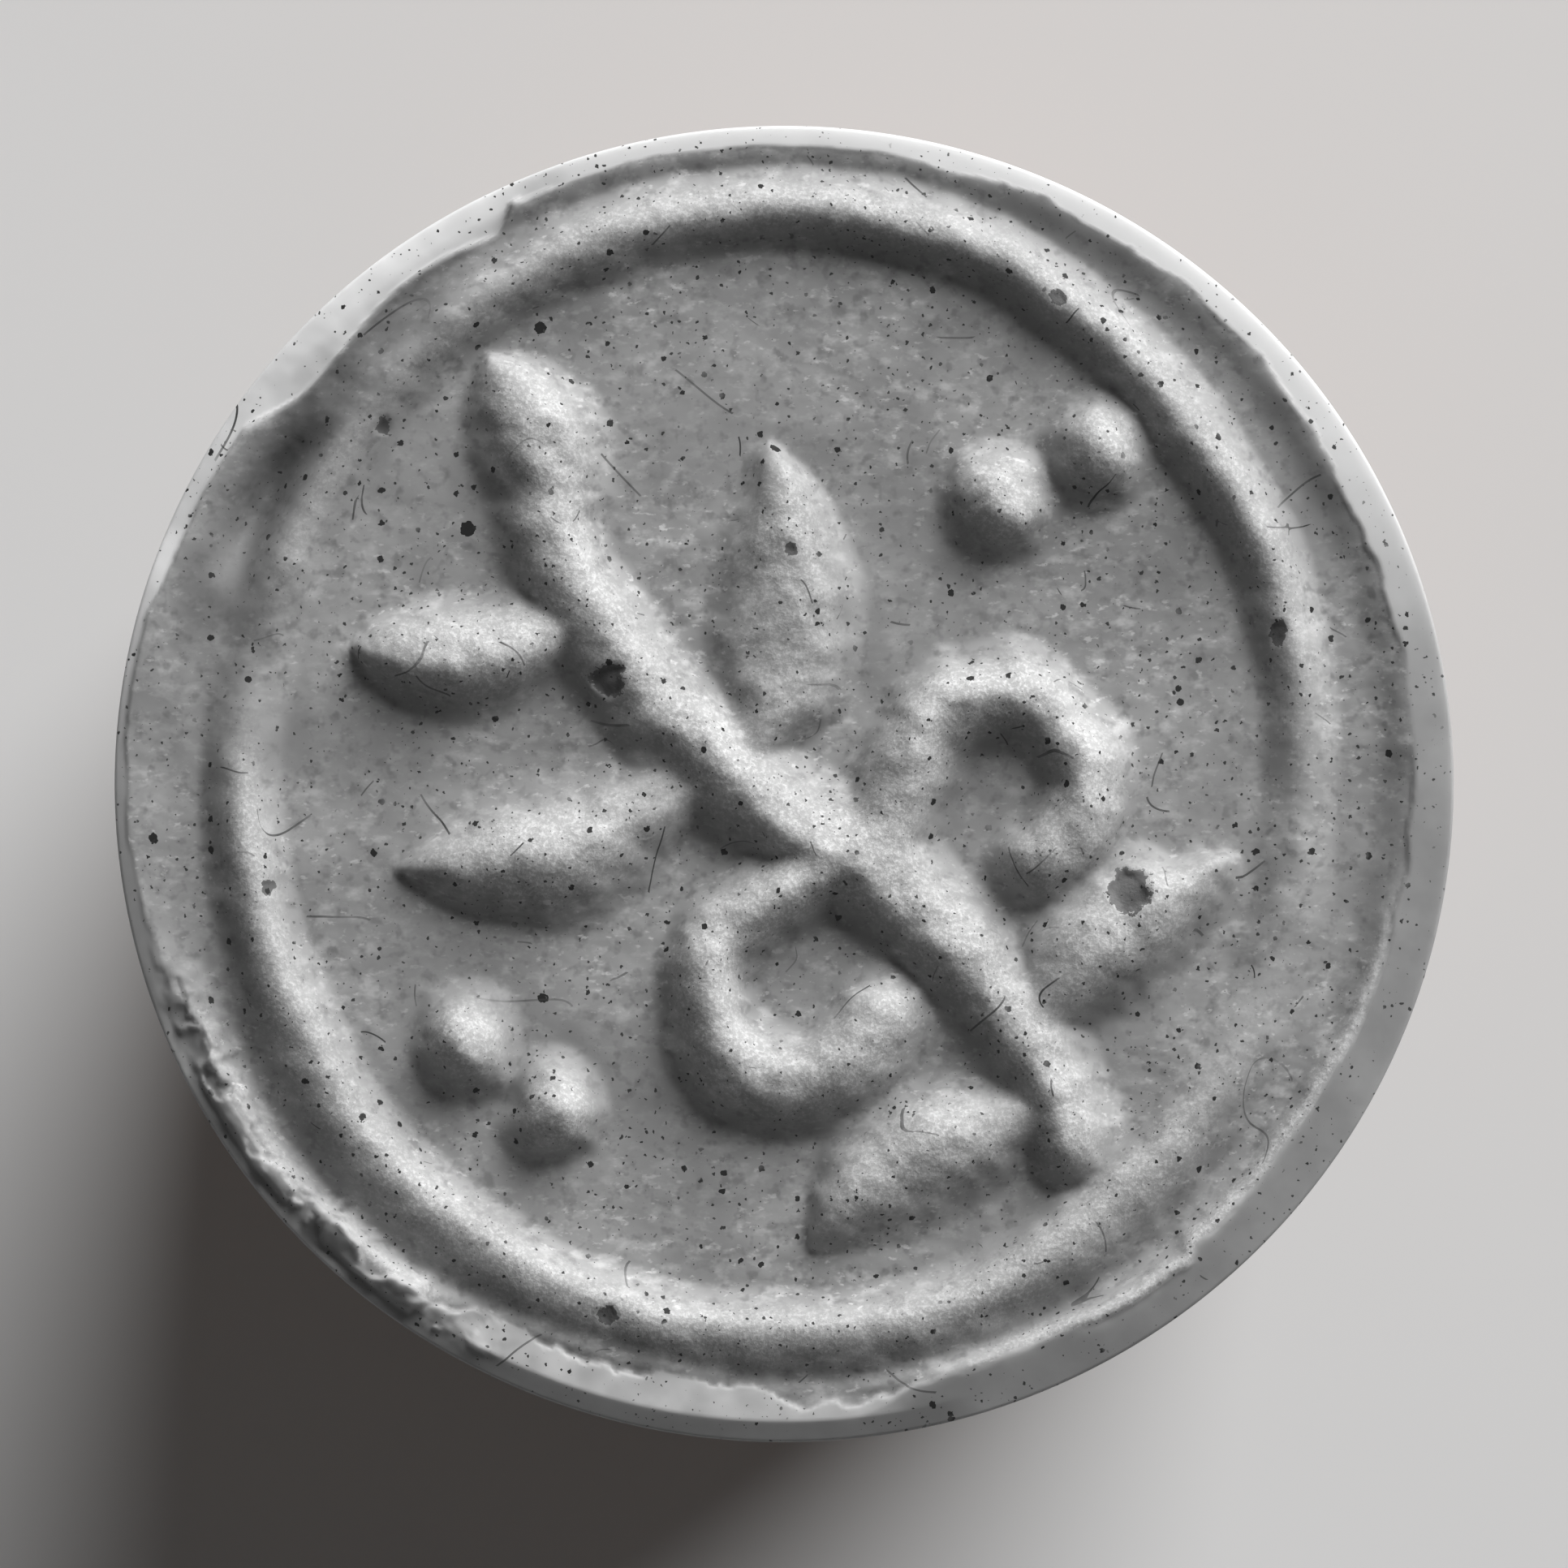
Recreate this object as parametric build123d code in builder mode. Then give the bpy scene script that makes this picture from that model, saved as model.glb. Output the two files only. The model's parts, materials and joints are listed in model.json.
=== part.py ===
from build123d import *

import os
from math import acos, atan2, cos, hypot, radians, sin, sqrt

os.makedirs("parts", exist_ok=True)

# A small seal stamp: a pale cast face in a turned metal head that screws onto a turned wooden handle.
# It stands on the foot of its handle with the face up. The foot's centre is the origin, and Z is its axis.
# All sizes are in millimetres.

# Gaps between pieces, measured on the radius
driven_gap = 0.02
running_gap = 0.03
washer_gap = 0.15
spigot_gap = 0.05

# Thread of the head, M4
stud_diameter = 4.0
thread_pitch = 0.7
engaged_turns = 10
stud_grip = 4.0
stud_chamfer = 0.4

# Threaded insert in the handle
insert_wall = 0.7
insert_flange_width = 0.5
insert_spare_length = 1.0
insert_slot_width = 0.6
insert_slot_depth = 0.35
socket_spare_depth = 0.5

# Ferrule and its pins
tenon_margin = 0.55
ferrule_wall = 0.45
ferrule_lip = 0.6
ferrule_length = 7.5
ferrule_band_height = 1.1
ferrule_band_step = 0.2
ferrule_edge = 0.2
pin_diameter = 0.8
pin_bite = 0.4
pin_head = 0.12

# Handle
handle_length = 45.4
foot_diameter = 11.6
bulb_diameter = 13.0
grip_end_diameter = 7.4
collar_height = 2.4
collar_step = 0.5
collar_bevel = 0.4

# Washer
washer_thickness = 0.6
washer_setback = 0.4

# Head cup
head_height = 7.6
neck_diameter = 8.0
neck_height = 3.2
neck_edge = 0.3
band_step = 0.25
band_height = 2.0
cup_wall = 0.95
groove_count = 24
groove_depth = 0.2

# Grub screw that locks the stud in the cup
grub_diameter = 1.6
grub_recess = 0.2
grub_slot_width = 0.3
grub_slot_depth = 0.4
dog_diameter = 0.9
dog_length = 0.35

# Cast face
face_width = 12.0
face_height = 11.78
cast_thickness = 2.0
spigot_diameter = 9.0
spigot_depth = 1.0
bed_thickness = 0.25
shoulder_bevel = 0.12
field_depth = 0.2
ring_inset_across = 1.25
ring_inset_along = 0.85
ring_width = 0.72
ring_height = 0.3
relief_height = 0.4
relief_taper = 36

# The lip round the field: a shifted oval, with a straight-edged flap that faces an angle from +X
lip_width = 0.3
lip_shift = (-0.07, 0.11)
flap_angle = 133
flap_reach = 5.39

# Sprig on the field: its stem and tendrils are chains of tangent arcs, as (radius, turn) pairs
stem_start = (2.55, -3.1)
stem_heading = 112
stem_bends = ((5.6, 38), (5.4, -38))
stem_width = 0.8
# Its leaves, as place along the stem, angle from the stem, length, width and bend
sprig_leaves = (
    (0.03, 94, 2.6, 0.95, -0.25),
    (0.12, -80, 2.5, 0.95, 0.25),
    (0.64, 58, 3.0, 1.0, 0.3),
    (0.60, -58, 3.0, 1.0, -0.3),
    (0.87, 64, 2.2, 0.9, 0.22),
    (0.94, -8, 2.1, 0.95, -0.2),
)
# Its curled tendrils, as place along the stem, angle from the stem and arcs
sprig_tendrils = (
    (0.44, 56, ((2.8, 26), (0.8, 205))),
    (0.40, -56, ((2.8, -26), (0.8, -205))),
)
tendril_width = 0.7
# Its berries, in pairs, as the pair's centre and turn
berry_diameter = 0.86
berry_gap = 0.08
berry_pairs = (((2.35, 2.75), 28), ((-2.45, -2.6), 140))

# Radii and levels that follow from the sizes above
stud_radius = stud_diameter / 2
engaged_length = engaged_turns * thread_pitch
insert_bore_radius = stud_radius + running_gap
insert_radius = insert_bore_radius + insert_wall
insert_flange_radius = insert_radius + insert_flange_width
insert_length = engaged_length + insert_spare_length
socket_radius = insert_radius + driven_gap
tenon_radius = insert_flange_radius + tenon_margin
ferrule_bore_radius = tenon_radius + driven_gap
ferrule_radius = ferrule_bore_radius + ferrule_wall
collar_radius = ferrule_radius + collar_step

ferrule_top = handle_length + ferrule_lip
shoulder_level = ferrule_top - ferrule_length
collar_bottom = shoulder_level - collar_height
pin_level = (shoulder_level + ferrule_band_height + ferrule_top) / 2
pin_root_radius = tenon_radius - pin_bite
insert_bottom = ferrule_top - insert_length

# The grip is a ball cut flat at the foot, with a taper that leaves the ball tangentially
foot_radius = foot_diameter / 2
bulb_radius = bulb_diameter / 2
grip_end_radius = grip_end_diameter / 2
bulb_level = sqrt(bulb_radius**2 - foot_radius**2)
grip_rise = collar_bottom - bulb_level
turn_angle = atan2(grip_rise, grip_end_radius) - acos(bulb_radius / hypot(grip_end_radius, grip_rise))
turn_radius = bulb_radius * cos(turn_angle)
turn_level = bulb_level + bulb_radius * sin(turn_angle)

head_base = ferrule_top + washer_thickness
neck_top = head_base + neck_height
rim_level = head_base + head_height
band_bottom = rim_level - band_height
neck_radius = neck_diameter / 2
spigot_radius = spigot_diameter / 2
recess_radius = spigot_radius + spigot_gap
recess_level = rim_level - spigot_depth - bed_thickness
rim_radius = recess_radius + cup_wall
stud_top = head_base + stud_grip
stud_bottom = ferrule_top - engaged_length
grub_level = head_base + stud_grip / 2

half_width = face_width / 2
half_height = face_height / 2
cast_top = rim_level + cast_thickness
field_level = cast_top - field_depth
field_across = half_width - lip_width
field_along = half_height - lip_width


def heading_vector(degrees):
    """Unit vector in the face plane, at an angle counted from +X towards +Y."""
    return Vector(cos(radians(degrees)), sin(radians(degrees)))


def draw_oval(across, along):
    """Closed oval of four tangent arcs, from its half sizes across X and along Y."""
    shift = (across - along) / (2 - sqrt(2))
    for side in (1, -1):
        CenterArc((side * shift, 0), across - shift, 45 - side * 90, 90)
        CenterArc((0, -side * shift), along + shift, 135 - side * 90, 90)


def arc_chain(point, direction, bends):
    """Wire of tangent arcs that leaves a point in a direction."""
    with BuildLine() as chain:
        for radius, turn in bends:
            arc = JernArc(point, direction, radius, turn)
            point = arc @ 1
            direction = arc % 1
    return chain.wire()


# Handle: a ball-footed grip that tapers up to a collar, then the tenon that takes the ferrule
with BuildPart() as handle:
    with BuildSketch(Plane.XZ):
        with BuildLine():
            foot = Line((0, 0), (foot_radius, 0))
            bulb = ThreePointArc(foot @ 1, (bulb_radius, bulb_level), (turn_radius, turn_level))
            Polyline(
                bulb @ 1,
                (grip_end_radius, collar_bottom),
                (collar_radius - collar_bevel, collar_bottom),
                (collar_radius, collar_bottom + collar_bevel),
                (collar_radius, shoulder_level - collar_bevel),
                (collar_radius - collar_bevel, shoulder_level),
                (tenon_radius, shoulder_level),
                (tenon_radius, handle_length),
                (0, handle_length),
                (0, 0),
            )
        make_face()
    revolve(axis=Axis.Z)
    with Locations((0, 0, handle_length)):
        Hole(radius=socket_radius, depth=handle_length - insert_bottom + socket_spare_depth)
    for side in (1, -1):
        with BuildSketch(Plane(origin=(side * pin_root_radius, 0, pin_level), z_dir=(side, 0, 0))):
            Circle(pin_diameter / 2 + driven_gap)
        extrude(amount=2 * pin_bite, mode=Mode.SUBTRACT)
handle.part.label = "handle"
export_step(handle.part, "parts/handle.step")

# Threaded insert: a bush with a slotted flange that sits on the tenon's end
with BuildPart() as threaded_insert:
    with BuildSketch(Plane.XY.offset(insert_bottom)):
        Circle(insert_radius)
    extrude(amount=handle_length - insert_bottom)
    with BuildSketch(Plane.XY.offset(handle_length)):
        Circle(insert_flange_radius)
    extrude(amount=ferrule_lip)
    with Locations((0, 0, ferrule_top)):
        Hole(radius=insert_bore_radius)
    with BuildSketch(Plane.XY.offset(ferrule_top)):
        Rectangle(2 * insert_flange_radius, insert_slot_width)
    extrude(amount=-insert_slot_depth, mode=Mode.SUBTRACT)
threaded_insert.part.label = "threaded_insert"
export_step(threaded_insert.part, "parts/threaded_insert.step")

# Ferrule: a collar with a raised band at its foot and a lip over the tenon's end
with BuildPart() as ferrule:
    band_radius = ferrule_radius + ferrule_band_step
    with BuildSketch(Plane.XZ):
        with BuildLine():
            Polyline(
                (band_radius, shoulder_level),
                (band_radius, shoulder_level + ferrule_band_height),
                (ferrule_radius, shoulder_level + ferrule_band_height),
                (ferrule_radius, ferrule_top - ferrule_edge),
                (ferrule_radius - ferrule_edge, ferrule_top),
                (insert_flange_radius + driven_gap, ferrule_top),
                (insert_flange_radius + driven_gap, handle_length),
                (ferrule_bore_radius, handle_length),
                (ferrule_bore_radius, shoulder_level),
                close=True,
            )
        make_face()
    revolve(axis=Axis.Z)
    for side in (1, -1):
        with BuildSketch(Plane(origin=(side * tenon_radius, 0, pin_level), z_dir=(side, 0, 0))):
            Circle(pin_diameter / 2 + driven_gap)
        extrude(amount=2 * ferrule_wall, mode=Mode.SUBTRACT)
ferrule.part.label = "ferrule"
export_step(ferrule.part, "parts/ferrule.step")

# Ferrule pins: one at each side, through the ferrule's wall and into the tenon
with BuildPart() as ferrule_pins:
    pin_length = ferrule_radius + pin_head - pin_root_radius
    for side in (1, -1):
        with BuildSketch(Plane(origin=(side * pin_root_radius, 0, pin_level), z_dir=(side, 0, 0))):
            Circle(pin_diameter / 2)
        extrude(amount=pin_length)
ferrule_pins.part.label = "ferrule_pins"
export_step(ferrule_pins.part, "parts/ferrule_pins.step")

# Washer between the ferrule and the head
with BuildPart() as washer:
    with BuildSketch(Plane.XY.offset(ferrule_top)):
        Circle(ferrule_radius - washer_setback)
        Circle(stud_radius + washer_gap, mode=Mode.SUBTRACT)
    extrude(amount=washer_thickness)
washer.part.label = "washer"
export_step(washer.part, "parts/washer.step")

# Head cup: a neck, a flare and a grooved band, with a recess for the cast and a hole for the stud
with BuildPart() as head_cup:
    with BuildSketch(Plane.XZ):
        with BuildLine():
            Polyline(
                (0, head_base),
                (neck_radius - neck_edge, head_base),
                (neck_radius, head_base + neck_edge),
                (neck_radius, neck_top),
                (rim_radius - band_step, band_bottom),
                (rim_radius, band_bottom),
                (rim_radius, rim_level),
                (0, rim_level),
                close=True,
            )
        make_face()
    revolve(axis=Axis.Z)
    with Locations((0, 0, rim_level)):
        Hole(radius=recess_radius, depth=rim_level - recess_level)
    with BuildSketch(Plane.XY.offset(head_base)):
        Circle(stud_radius + driven_gap)
    extrude(amount=stud_grip, mode=Mode.SUBTRACT)
    with BuildSketch(Plane(origin=(0, stud_radius, grub_level), z_dir=(0, 1, 0))):
        Circle(grub_diameter / 2 + driven_gap)
    extrude(amount=neck_radius, mode=Mode.SUBTRACT)
    with BuildSketch(Plane.XY.offset(band_bottom)):
        with PolarLocations(rim_radius, groove_count):
            Rectangle(groove_depth * sqrt(2), groove_depth * sqrt(2), rotation=45)
    extrude(amount=band_height, mode=Mode.SUBTRACT)
head_cup.part.label = "head_cup"
export_step(head_cup.part, "parts/head_cup.step")

# Stud: fixed in the cup, with a dimple for the grub screw's dog point
with BuildPart() as head_stud:
    with BuildSketch(Plane.XY.offset(stud_bottom)):
        Circle(stud_radius)
    extrude(amount=stud_top - stud_bottom)
    chamfer(head_stud.edges().group_by(Axis.Z)[0], length=stud_chamfer)
    with BuildSketch(Plane(origin=(0, stud_radius - dog_length, grub_level), z_dir=(0, 1, 0))):
        Circle(dog_diameter / 2 + driven_gap)
    extrude(amount=stud_radius, mode=Mode.SUBTRACT)
head_stud.part.label = "head_stud"
export_step(head_stud.part, "parts/head_stud.step")

# Grub screw: a slotted screw whose dog point enters the stud
with BuildPart() as grub_screw:
    grub_root = stud_radius + driven_gap
    grub_end = neck_radius - grub_recess
    with BuildSketch(Plane(origin=(0, grub_root, grub_level), z_dir=(0, 1, 0))):
        Circle(grub_diameter / 2)
    extrude(amount=grub_end - grub_root)
    with BuildSketch(Plane(origin=(0, grub_root, grub_level), z_dir=(0, -1, 0))):
        Circle(dog_diameter / 2)
    extrude(amount=dog_length)
    with BuildSketch(Plane(origin=(0, grub_end, grub_level), x_dir=(1, 0, 0), z_dir=(0, 1, 0))):
        Rectangle(grub_diameter, grub_slot_width)
    extrude(amount=-grub_slot_depth, mode=Mode.SUBTRACT)
grub_screw.part.label = "grub_screw"
export_step(grub_screw.part, "parts/grub_screw.step")

# Bedding: the bond between the recess floor and the cast's spigot
with BuildPart() as bedding:
    with BuildSketch(Plane.XY.offset(recess_level)):
        Circle(recess_radius - driven_gap)
    extrude(amount=bed_thickness)
bedding.part.label = "bedding"
export_step(bedding.part, "parts/bedding.step")

# Middle lines of the sprig's stem and tendrils, each with its width
stem = arc_chain(Vector(*stem_start), heading_vector(stem_heading), stem_bends)
strokes = [(stem, stem_width)]
for place, lean, bends in sprig_tendrils:
    tendril = arc_chain(stem @ place, (stem % place).rotate(Axis.Z, lean), bends)
    strokes.append((tendril, tendril_width))

# Cast face: an oval cast on a round spigot, with a torn lip, a sunken field, a raised ring and a raised sprig
with BuildPart() as cast_face:
    with BuildSketch(Plane.XY.offset(rim_level)):
        with BuildLine():
            draw_oval(half_width, half_height)
        make_face()
    extrude(amount=cast_thickness)
    chamfer(cast_face.faces().sort_by(Axis.Z)[-1].edges(), length=shoulder_bevel)
    with BuildSketch(Plane.XY.offset(rim_level)):
        Circle(spigot_radius)
    extrude(amount=-spigot_depth)
    with BuildSketch(Plane(origin=(*lip_shift, cast_top))):
        with BuildLine():
            draw_oval(field_across, field_along)
        make_face()
        with Locations(heading_vector(flap_angle) * flap_reach):
            Rectangle(half_width, face_width, flap_angle, (Align.MIN, Align.CENTER), Mode.SUBTRACT)
    extrude(amount=-field_depth, mode=Mode.SUBTRACT)
    with BuildSketch(Plane.XY.offset(field_level)):
        for edge, mode in ((ring_width / 2, Mode.ADD), (-ring_width / 2, Mode.SUBTRACT)):
            with BuildLine():
                draw_oval(half_width - ring_inset_across + edge, half_height - ring_inset_along + edge)
            make_face(mode=mode)
    extrude(amount=ring_height, taper=relief_taper)
    for path, width in strokes:
        with BuildSketch(Plane.XY.offset(field_level)):
            make_face(path.offset_2d(width / 2).edges())
        extrude(amount=relief_height, taper=relief_taper)
    for place, lean, length, width, bend in sprig_leaves:
        leaf_root = stem @ place + Vector(0, 0, field_level)
        leaf_heading = (stem % place).rotate(Axis.Z, lean)
        with BuildSketch(Plane(origin=leaf_root, x_dir=leaf_heading, z_dir=(0, 0, 1))):
            with BuildLine():
                ThreePointArc((0, 0), (length / 2, bend - width / 2), (length, 0))
                ThreePointArc((length, 0), (length / 2, bend + width / 2), (0, 0))
            make_face()
        extrude(amount=relief_height, taper=relief_taper)
    with BuildSketch(Plane.XY.offset(field_level)):
        for centre, turn in berry_pairs:
            with Locations(centre):
                with PolarLocations((berry_diameter + berry_gap) / 2, 2, start_angle=turn):
                    Circle(berry_diameter / 2)
    extrude(amount=relief_height, taper=relief_taper)
cast_face.part.label = "cast_face"
export_step(cast_face.part, "parts/cast_face.step")
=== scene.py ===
import json
from math import atan2, cos, degrees, pi, radians, sin

import bpy
import numpy as np
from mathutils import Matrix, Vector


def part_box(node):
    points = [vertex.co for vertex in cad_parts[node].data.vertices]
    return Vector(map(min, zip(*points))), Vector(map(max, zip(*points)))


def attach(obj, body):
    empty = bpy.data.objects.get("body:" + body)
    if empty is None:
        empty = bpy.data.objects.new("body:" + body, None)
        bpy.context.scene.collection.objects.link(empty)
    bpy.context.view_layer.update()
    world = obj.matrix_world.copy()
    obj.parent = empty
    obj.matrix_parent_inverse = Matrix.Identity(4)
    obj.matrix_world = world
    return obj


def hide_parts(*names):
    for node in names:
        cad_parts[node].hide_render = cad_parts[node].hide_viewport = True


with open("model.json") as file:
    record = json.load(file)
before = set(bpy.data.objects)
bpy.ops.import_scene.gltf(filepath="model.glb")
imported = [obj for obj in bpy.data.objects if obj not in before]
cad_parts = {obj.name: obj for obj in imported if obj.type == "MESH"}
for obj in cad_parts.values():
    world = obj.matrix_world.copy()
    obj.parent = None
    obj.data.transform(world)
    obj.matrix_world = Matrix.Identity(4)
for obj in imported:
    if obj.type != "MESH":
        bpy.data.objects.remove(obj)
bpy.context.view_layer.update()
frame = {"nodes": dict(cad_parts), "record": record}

# Sizes of the object are in millimetres, and become metres where they reach Blender
MM = 0.001
SEED = 41
TINY = 1e-9

# Cast, from the frame
spigot_clearance = 0.03
cast_low, cast_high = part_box("cast_face")
half_width = (cast_high.x - cast_low.x) / 2 / MM
half_height = (cast_high.y - cast_low.y) / 2 / MM
cast_top = cast_high.z / MM
cast_foot = cast_low.z / MM
rim_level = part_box("head_cup")[1].z / MM
bed_low, bed_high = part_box("bedding")
spigot_radius = (bed_high.x - bed_low.x) / 2 / MM - spigot_clearance

# Cast, its lattice of points and its body under the face. The wall's foot is inset and height above the rim
lattice_rings = 168
lattice_sides = 6
lattice_pull = 0.12
lattice_power = 6
wall_drop = 0.4
wall_foot = ((0, 0.25), (0.02, 0.08), (0.1, 0))
spigot_cap = 0.02

# A stretch of the rim is its first angle, its last angle and the length of its eased ends. Angles are in
# degrees, anticlockwise from the right of the face

# Field, with a hollow at the upper left
relief_height = 0.4
field_level = cast_top - relief_height
hollow_stretch = (145, 157, 10)
hollow_inset = 0.66
hollow_half = 0.18
hollow_depth = 0.3

# Ring. Worn stretches have the share of its height that is gone, and one stretch is broader outside
ring_height = 0.3
ring_side_inset = 1.25
ring_end_inset = 0.85
ring_across = half_width - ring_side_inset
ring_along = half_height - ring_end_inset
ring_half = 0.4
ring_shift = (-0.08, 0.09)
ring_wear = 0.07
ring_worn = (((-35, 8, 30), 0.6), ((158, 178, 24), 0.7), ((130, 160, 20), 0.35))
ring_broad_stretch = (200, 320, 40)
ring_broadening = 0.5

# Bank that rises from the field to the lip. It is higher on the low side, and nearly flat on the left
lip_rise = 0.2
low_stretch = (205, 320, 40)
flat_stretch = (150, 196, 20)
bank_share = 0.5
bank_low_share = 0.6
bank_flattening = 0.9
bank_shelf_loss = 0.6
bank_width = 0.42
bank_low_narrowing = 0.2
bank_power = 1.5

# Lip, with the stretches where it is wider or narrower and those where it is more ragged
lip_width = 0.3
lip_least = 0.04
lip_shift = (-0.07, 0.11)
lip_step = 0.035
lip_changes = (((35, 80, 30), -0.05), ((154, 196, 16), -0.12), ((238, 264, 16), 0.12))
lip_ragged = 0.4
ragged_changes = (((196, 280, 20), 1.3), ((305, 316, 4), 0.5), ((5, 75, 12), 0.6))
notch_angle = 277
notch_half = 1.6
notch_depth = 0.06
flake_first = 291
flake_rise = 18
flake_last = 312
flake_fall = 2
flake_depth = 0.15

# Flap of the lip at the upper left: a wavy smooth film that ends in a thin tail
flap_stretch = (116, 152, 4)
flap_width = 0.36
flap_first = 113
flap_rise = 5
flap_last = 153
flap_fall = 13
flap_wave = 0.17
flap_wave_angle = 139
flap_wave_length = 27
tail_width = 0.17
tail_last = 172
tail_fall = 14
calm_stretch = (114, 153, 6)
calm_share = 0.95
film_stretch = (112, 160, 6)
film_rise = 0.012

# Margin, bevelled to the edge, with a torn shelf at the bottom
margin_rise = 0.08
bevel_width = 0.6
bevel_slope = 0.24
edge_round = 0.015
shelf_stretch = (236, 282, 12)
shelf_inset = 0.19
shelf_slope = 0.36
shelf_drop = 0.03

# Torn ridges and flakes at the lower left
torn_stretch = (198, 240, 12)
torn_crest = 0.05
torn_flake = 0.06
torn_flake_bias = 0.05
torn_flake_edge = 0.12
torn_first = 0.1
torn_rise = 0.06
torn_last = 0.62
torn_fall = 0.2
torn_grain_rise = 0.12

# Ridge along the lip at the lower right, and the groove inside it, placed from the lip
ridge_stretch = (290, 346, 16)
ridge_place = 0.06
ridge_half = 0.07
ridge_height = 0.05
groove_place = 0.32
groove_half = 0.14
groove_depth = 0.06

# Paleness of the frosted relief, a band beside the lip, the ridge, the shelf and the margin, whose paleness
# is partly painted light on its side toward the key, and painted shade darkening a trough at the upper left
frost_gain = 1.2
frost_start = 0.2
band_pale = 0.6
band_place = 0.05
band_half = 0.09
band_shelf_loss = 0.8
ridge_pale = 0.75
ridge_patchy = 0.25
shelf_pale = 0.55
shelf_edge = 0.04
# The margin and flap are paler only on their side toward the key: partly their paler substance, partly
# painted light
lit_margin_stretch = (20, 176, 36)
margin_pale = 0.58
pale_flap_stretch = (122, 170, 18)
flap_pale = 0.42
# Painted shade: a trough between the flap and the ring at the upper left, darkened where shade falls
shade_trough_stretch = (116, 166, 16)
shade_trough_inset = 0.6
shade_trough_half = 0.3
shade_trough_power = 4
shade_trough_share = 0.7

# Burst bubbles, as place and radius. Their depth and the reach of their painted shade are shares of the
# radius
bubble_pits = (
    (2.44, 4.33, 0.08),
    (4.42, 1.35, 0.09),
    (-3.55, 3.2, 0.07),
    (-1.6, -4.75, 0.08),
    (-4.6, -0.9, 0.06),
    (3.1, -0.95, 0.2),
    (-1.55, 0.95, 0.17),
    (0.1, 2.1, 0.07),
)
pit_depth = 0.35
pit_shade_reach = 1.3
pit_steepness = 3

# Sprig: the stem is a chain of tangent arcs, as (radius, turn) pairs
stem_start = (2.55, -3.1)
stem_heading = 112
stem_bends = ((5.6, 38), (5.4, -38))
stem_half = 0.6
# Leaves, as place along the stem, angle from the stem, length, width and bend
sprig_leaves = (
    (0.03, 94, 2.6, 0.95, -0.25),
    (0.12, -80, 2.5, 0.95, 0.25),
    (0.64, 58, 3.0, 1.0, 0.3),
    (0.60, -58, 3.0, 1.0, -0.3),
    (0.87, 64, 2.2, 0.9, 0.22),
    (0.94, -8, 2.1, 0.95, -0.2),
)
leaf_spread = 1.5
leaf_swell = 0.75
leaf_sink = 0.5
# Curled tendrils, as place along the stem, angle from the stem, and (radius, turn) pairs
sprig_tendrils = (
    (0.44, 56, ((2.8, 26), (0.8, 205))),
    (0.40, -56, ((2.8, -26), (0.8, -205))),
)
tendril_half = 0.54
# Berries, in pairs, as the pair's centre and turn
berry_half = 0.58
berry_spread = 0.5
berry_pairs = (((2.35, 2.75), 28), ((-2.45, -2.6), 140))
# Flanks, joins and wear of the relief
flank_power = 1.8
join_power = 5
sprig_level = 0.92
sprig_wear = 0.14

# Unevenness of the face, as strength, size of its features, seed and layers. The lip's size is in degrees
ring_wander = (0.06, 1.7, 1, 1)
ring_jitter = (0.03, 0.5, 2, 3)
lip_tears = (0.05, 4, 11, 5)
field_swell = (0.035, 1.6, 21, 2)
field_grain = (0.007, 0.35, 31, 3)
margin_swell = (0.004, 0.5, 51, 3)
torn_creases = (3.5, 0.6, 61, 4)
torn_grain = (0.03, 0.3, 71, 4)
sprig_bend_x = (0.07, 0.7, 81, 4)
sprig_bend_y = (0.07, 0.7, 91, 4)
relief_wear = (1, 0.6, 101, 4)
pit_bend_x = (0.05, 0.16, 111, 3)
pit_bend_y = (0.05, 0.16, 121, 3)
pale_patches = (1, 0.35, 131, 3)
sprig_swell = (0.2, 1.5, 141, 1)
torn_flakes = (1, 0.5, 151, 4)
shelf_patches = (0.2, 0.25, 161, 3)

# Thread of the stud. The crest and the flank are shares of half a pitch
thread_pitch = 0.7
thread_depth = 0.43
thread_crest = 0.125
thread_flank = 0.625
thread_chamfer = 0.5
thread_stop = 0.01
thread_rows_per_turn = 20
thread_sides = 64


def smooth(t):
    """Eased step from 0 to 1."""
    t = np.clip(t, 0, 1)
    return t * t * (3 - 2 * t)


def bell(value, middle, half, power=2):
    """Hump of height 1 that falls off on both sides of a middle."""
    return np.exp(-(((value - middle) / half) ** power))


def mound(away):
    """Rounded mound, 1 in the middle and 0 where away reaches 1."""
    return np.clip(1 - away**2, 0, 1) ** flank_power


def joined(forms):
    """Highest of some forms, which run into each other where they meet."""
    return sum(form**join_power for form in forms) ** (1 / join_power)


def value_noise(x, y, size, seed):
    """Smooth noise between -1 and 1 over the plane, with features of a given size."""
    cells = 256
    offset = 1000
    table = np.random.default_rng(SEED + seed).uniform(-1, 1, (cells, cells))
    x = x / size + offset
    y = y / size + offset
    column = np.floor(x).astype(int)
    row = np.floor(y).astype(int)
    u = smooth(x - column)
    v = smooth(y - row)
    left = column % cells
    right = (column + 1) % cells
    low = table[left, row % cells] * (1 - u) + table[right, row % cells] * u
    high = table[left, (row + 1) % cells] * (1 - u) + table[right, (row + 1) % cells] * u
    return low * (1 - v) + high * v


def unevenness(x, y, texture):
    """Noise of halving sizes and strengths, one layer on the other."""
    strength, size, seed, layers = texture
    total = 0
    for layer in range(layers):
        total = total + value_noise(x, y, size / 2**layer, seed + layer) / 2**layer
    return strength * total


def angle_window(theta, first, last, ease):
    """1 between two angles in degrees and 0 elsewhere, with eased ends."""
    middle = (first + last) / 2
    away = np.abs((theta - middle + 180) % 360 - 180)
    return smooth(((last - first) / 2 + ease / 2 - away) / ease)


def ellipse_radius(theta, across, along):
    """Distance from an ellipse's centre to its line, at angles in degrees."""
    return 1 / np.hypot(np.cos(np.radians(theta)) / across, np.sin(np.radians(theta)) / along)


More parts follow.
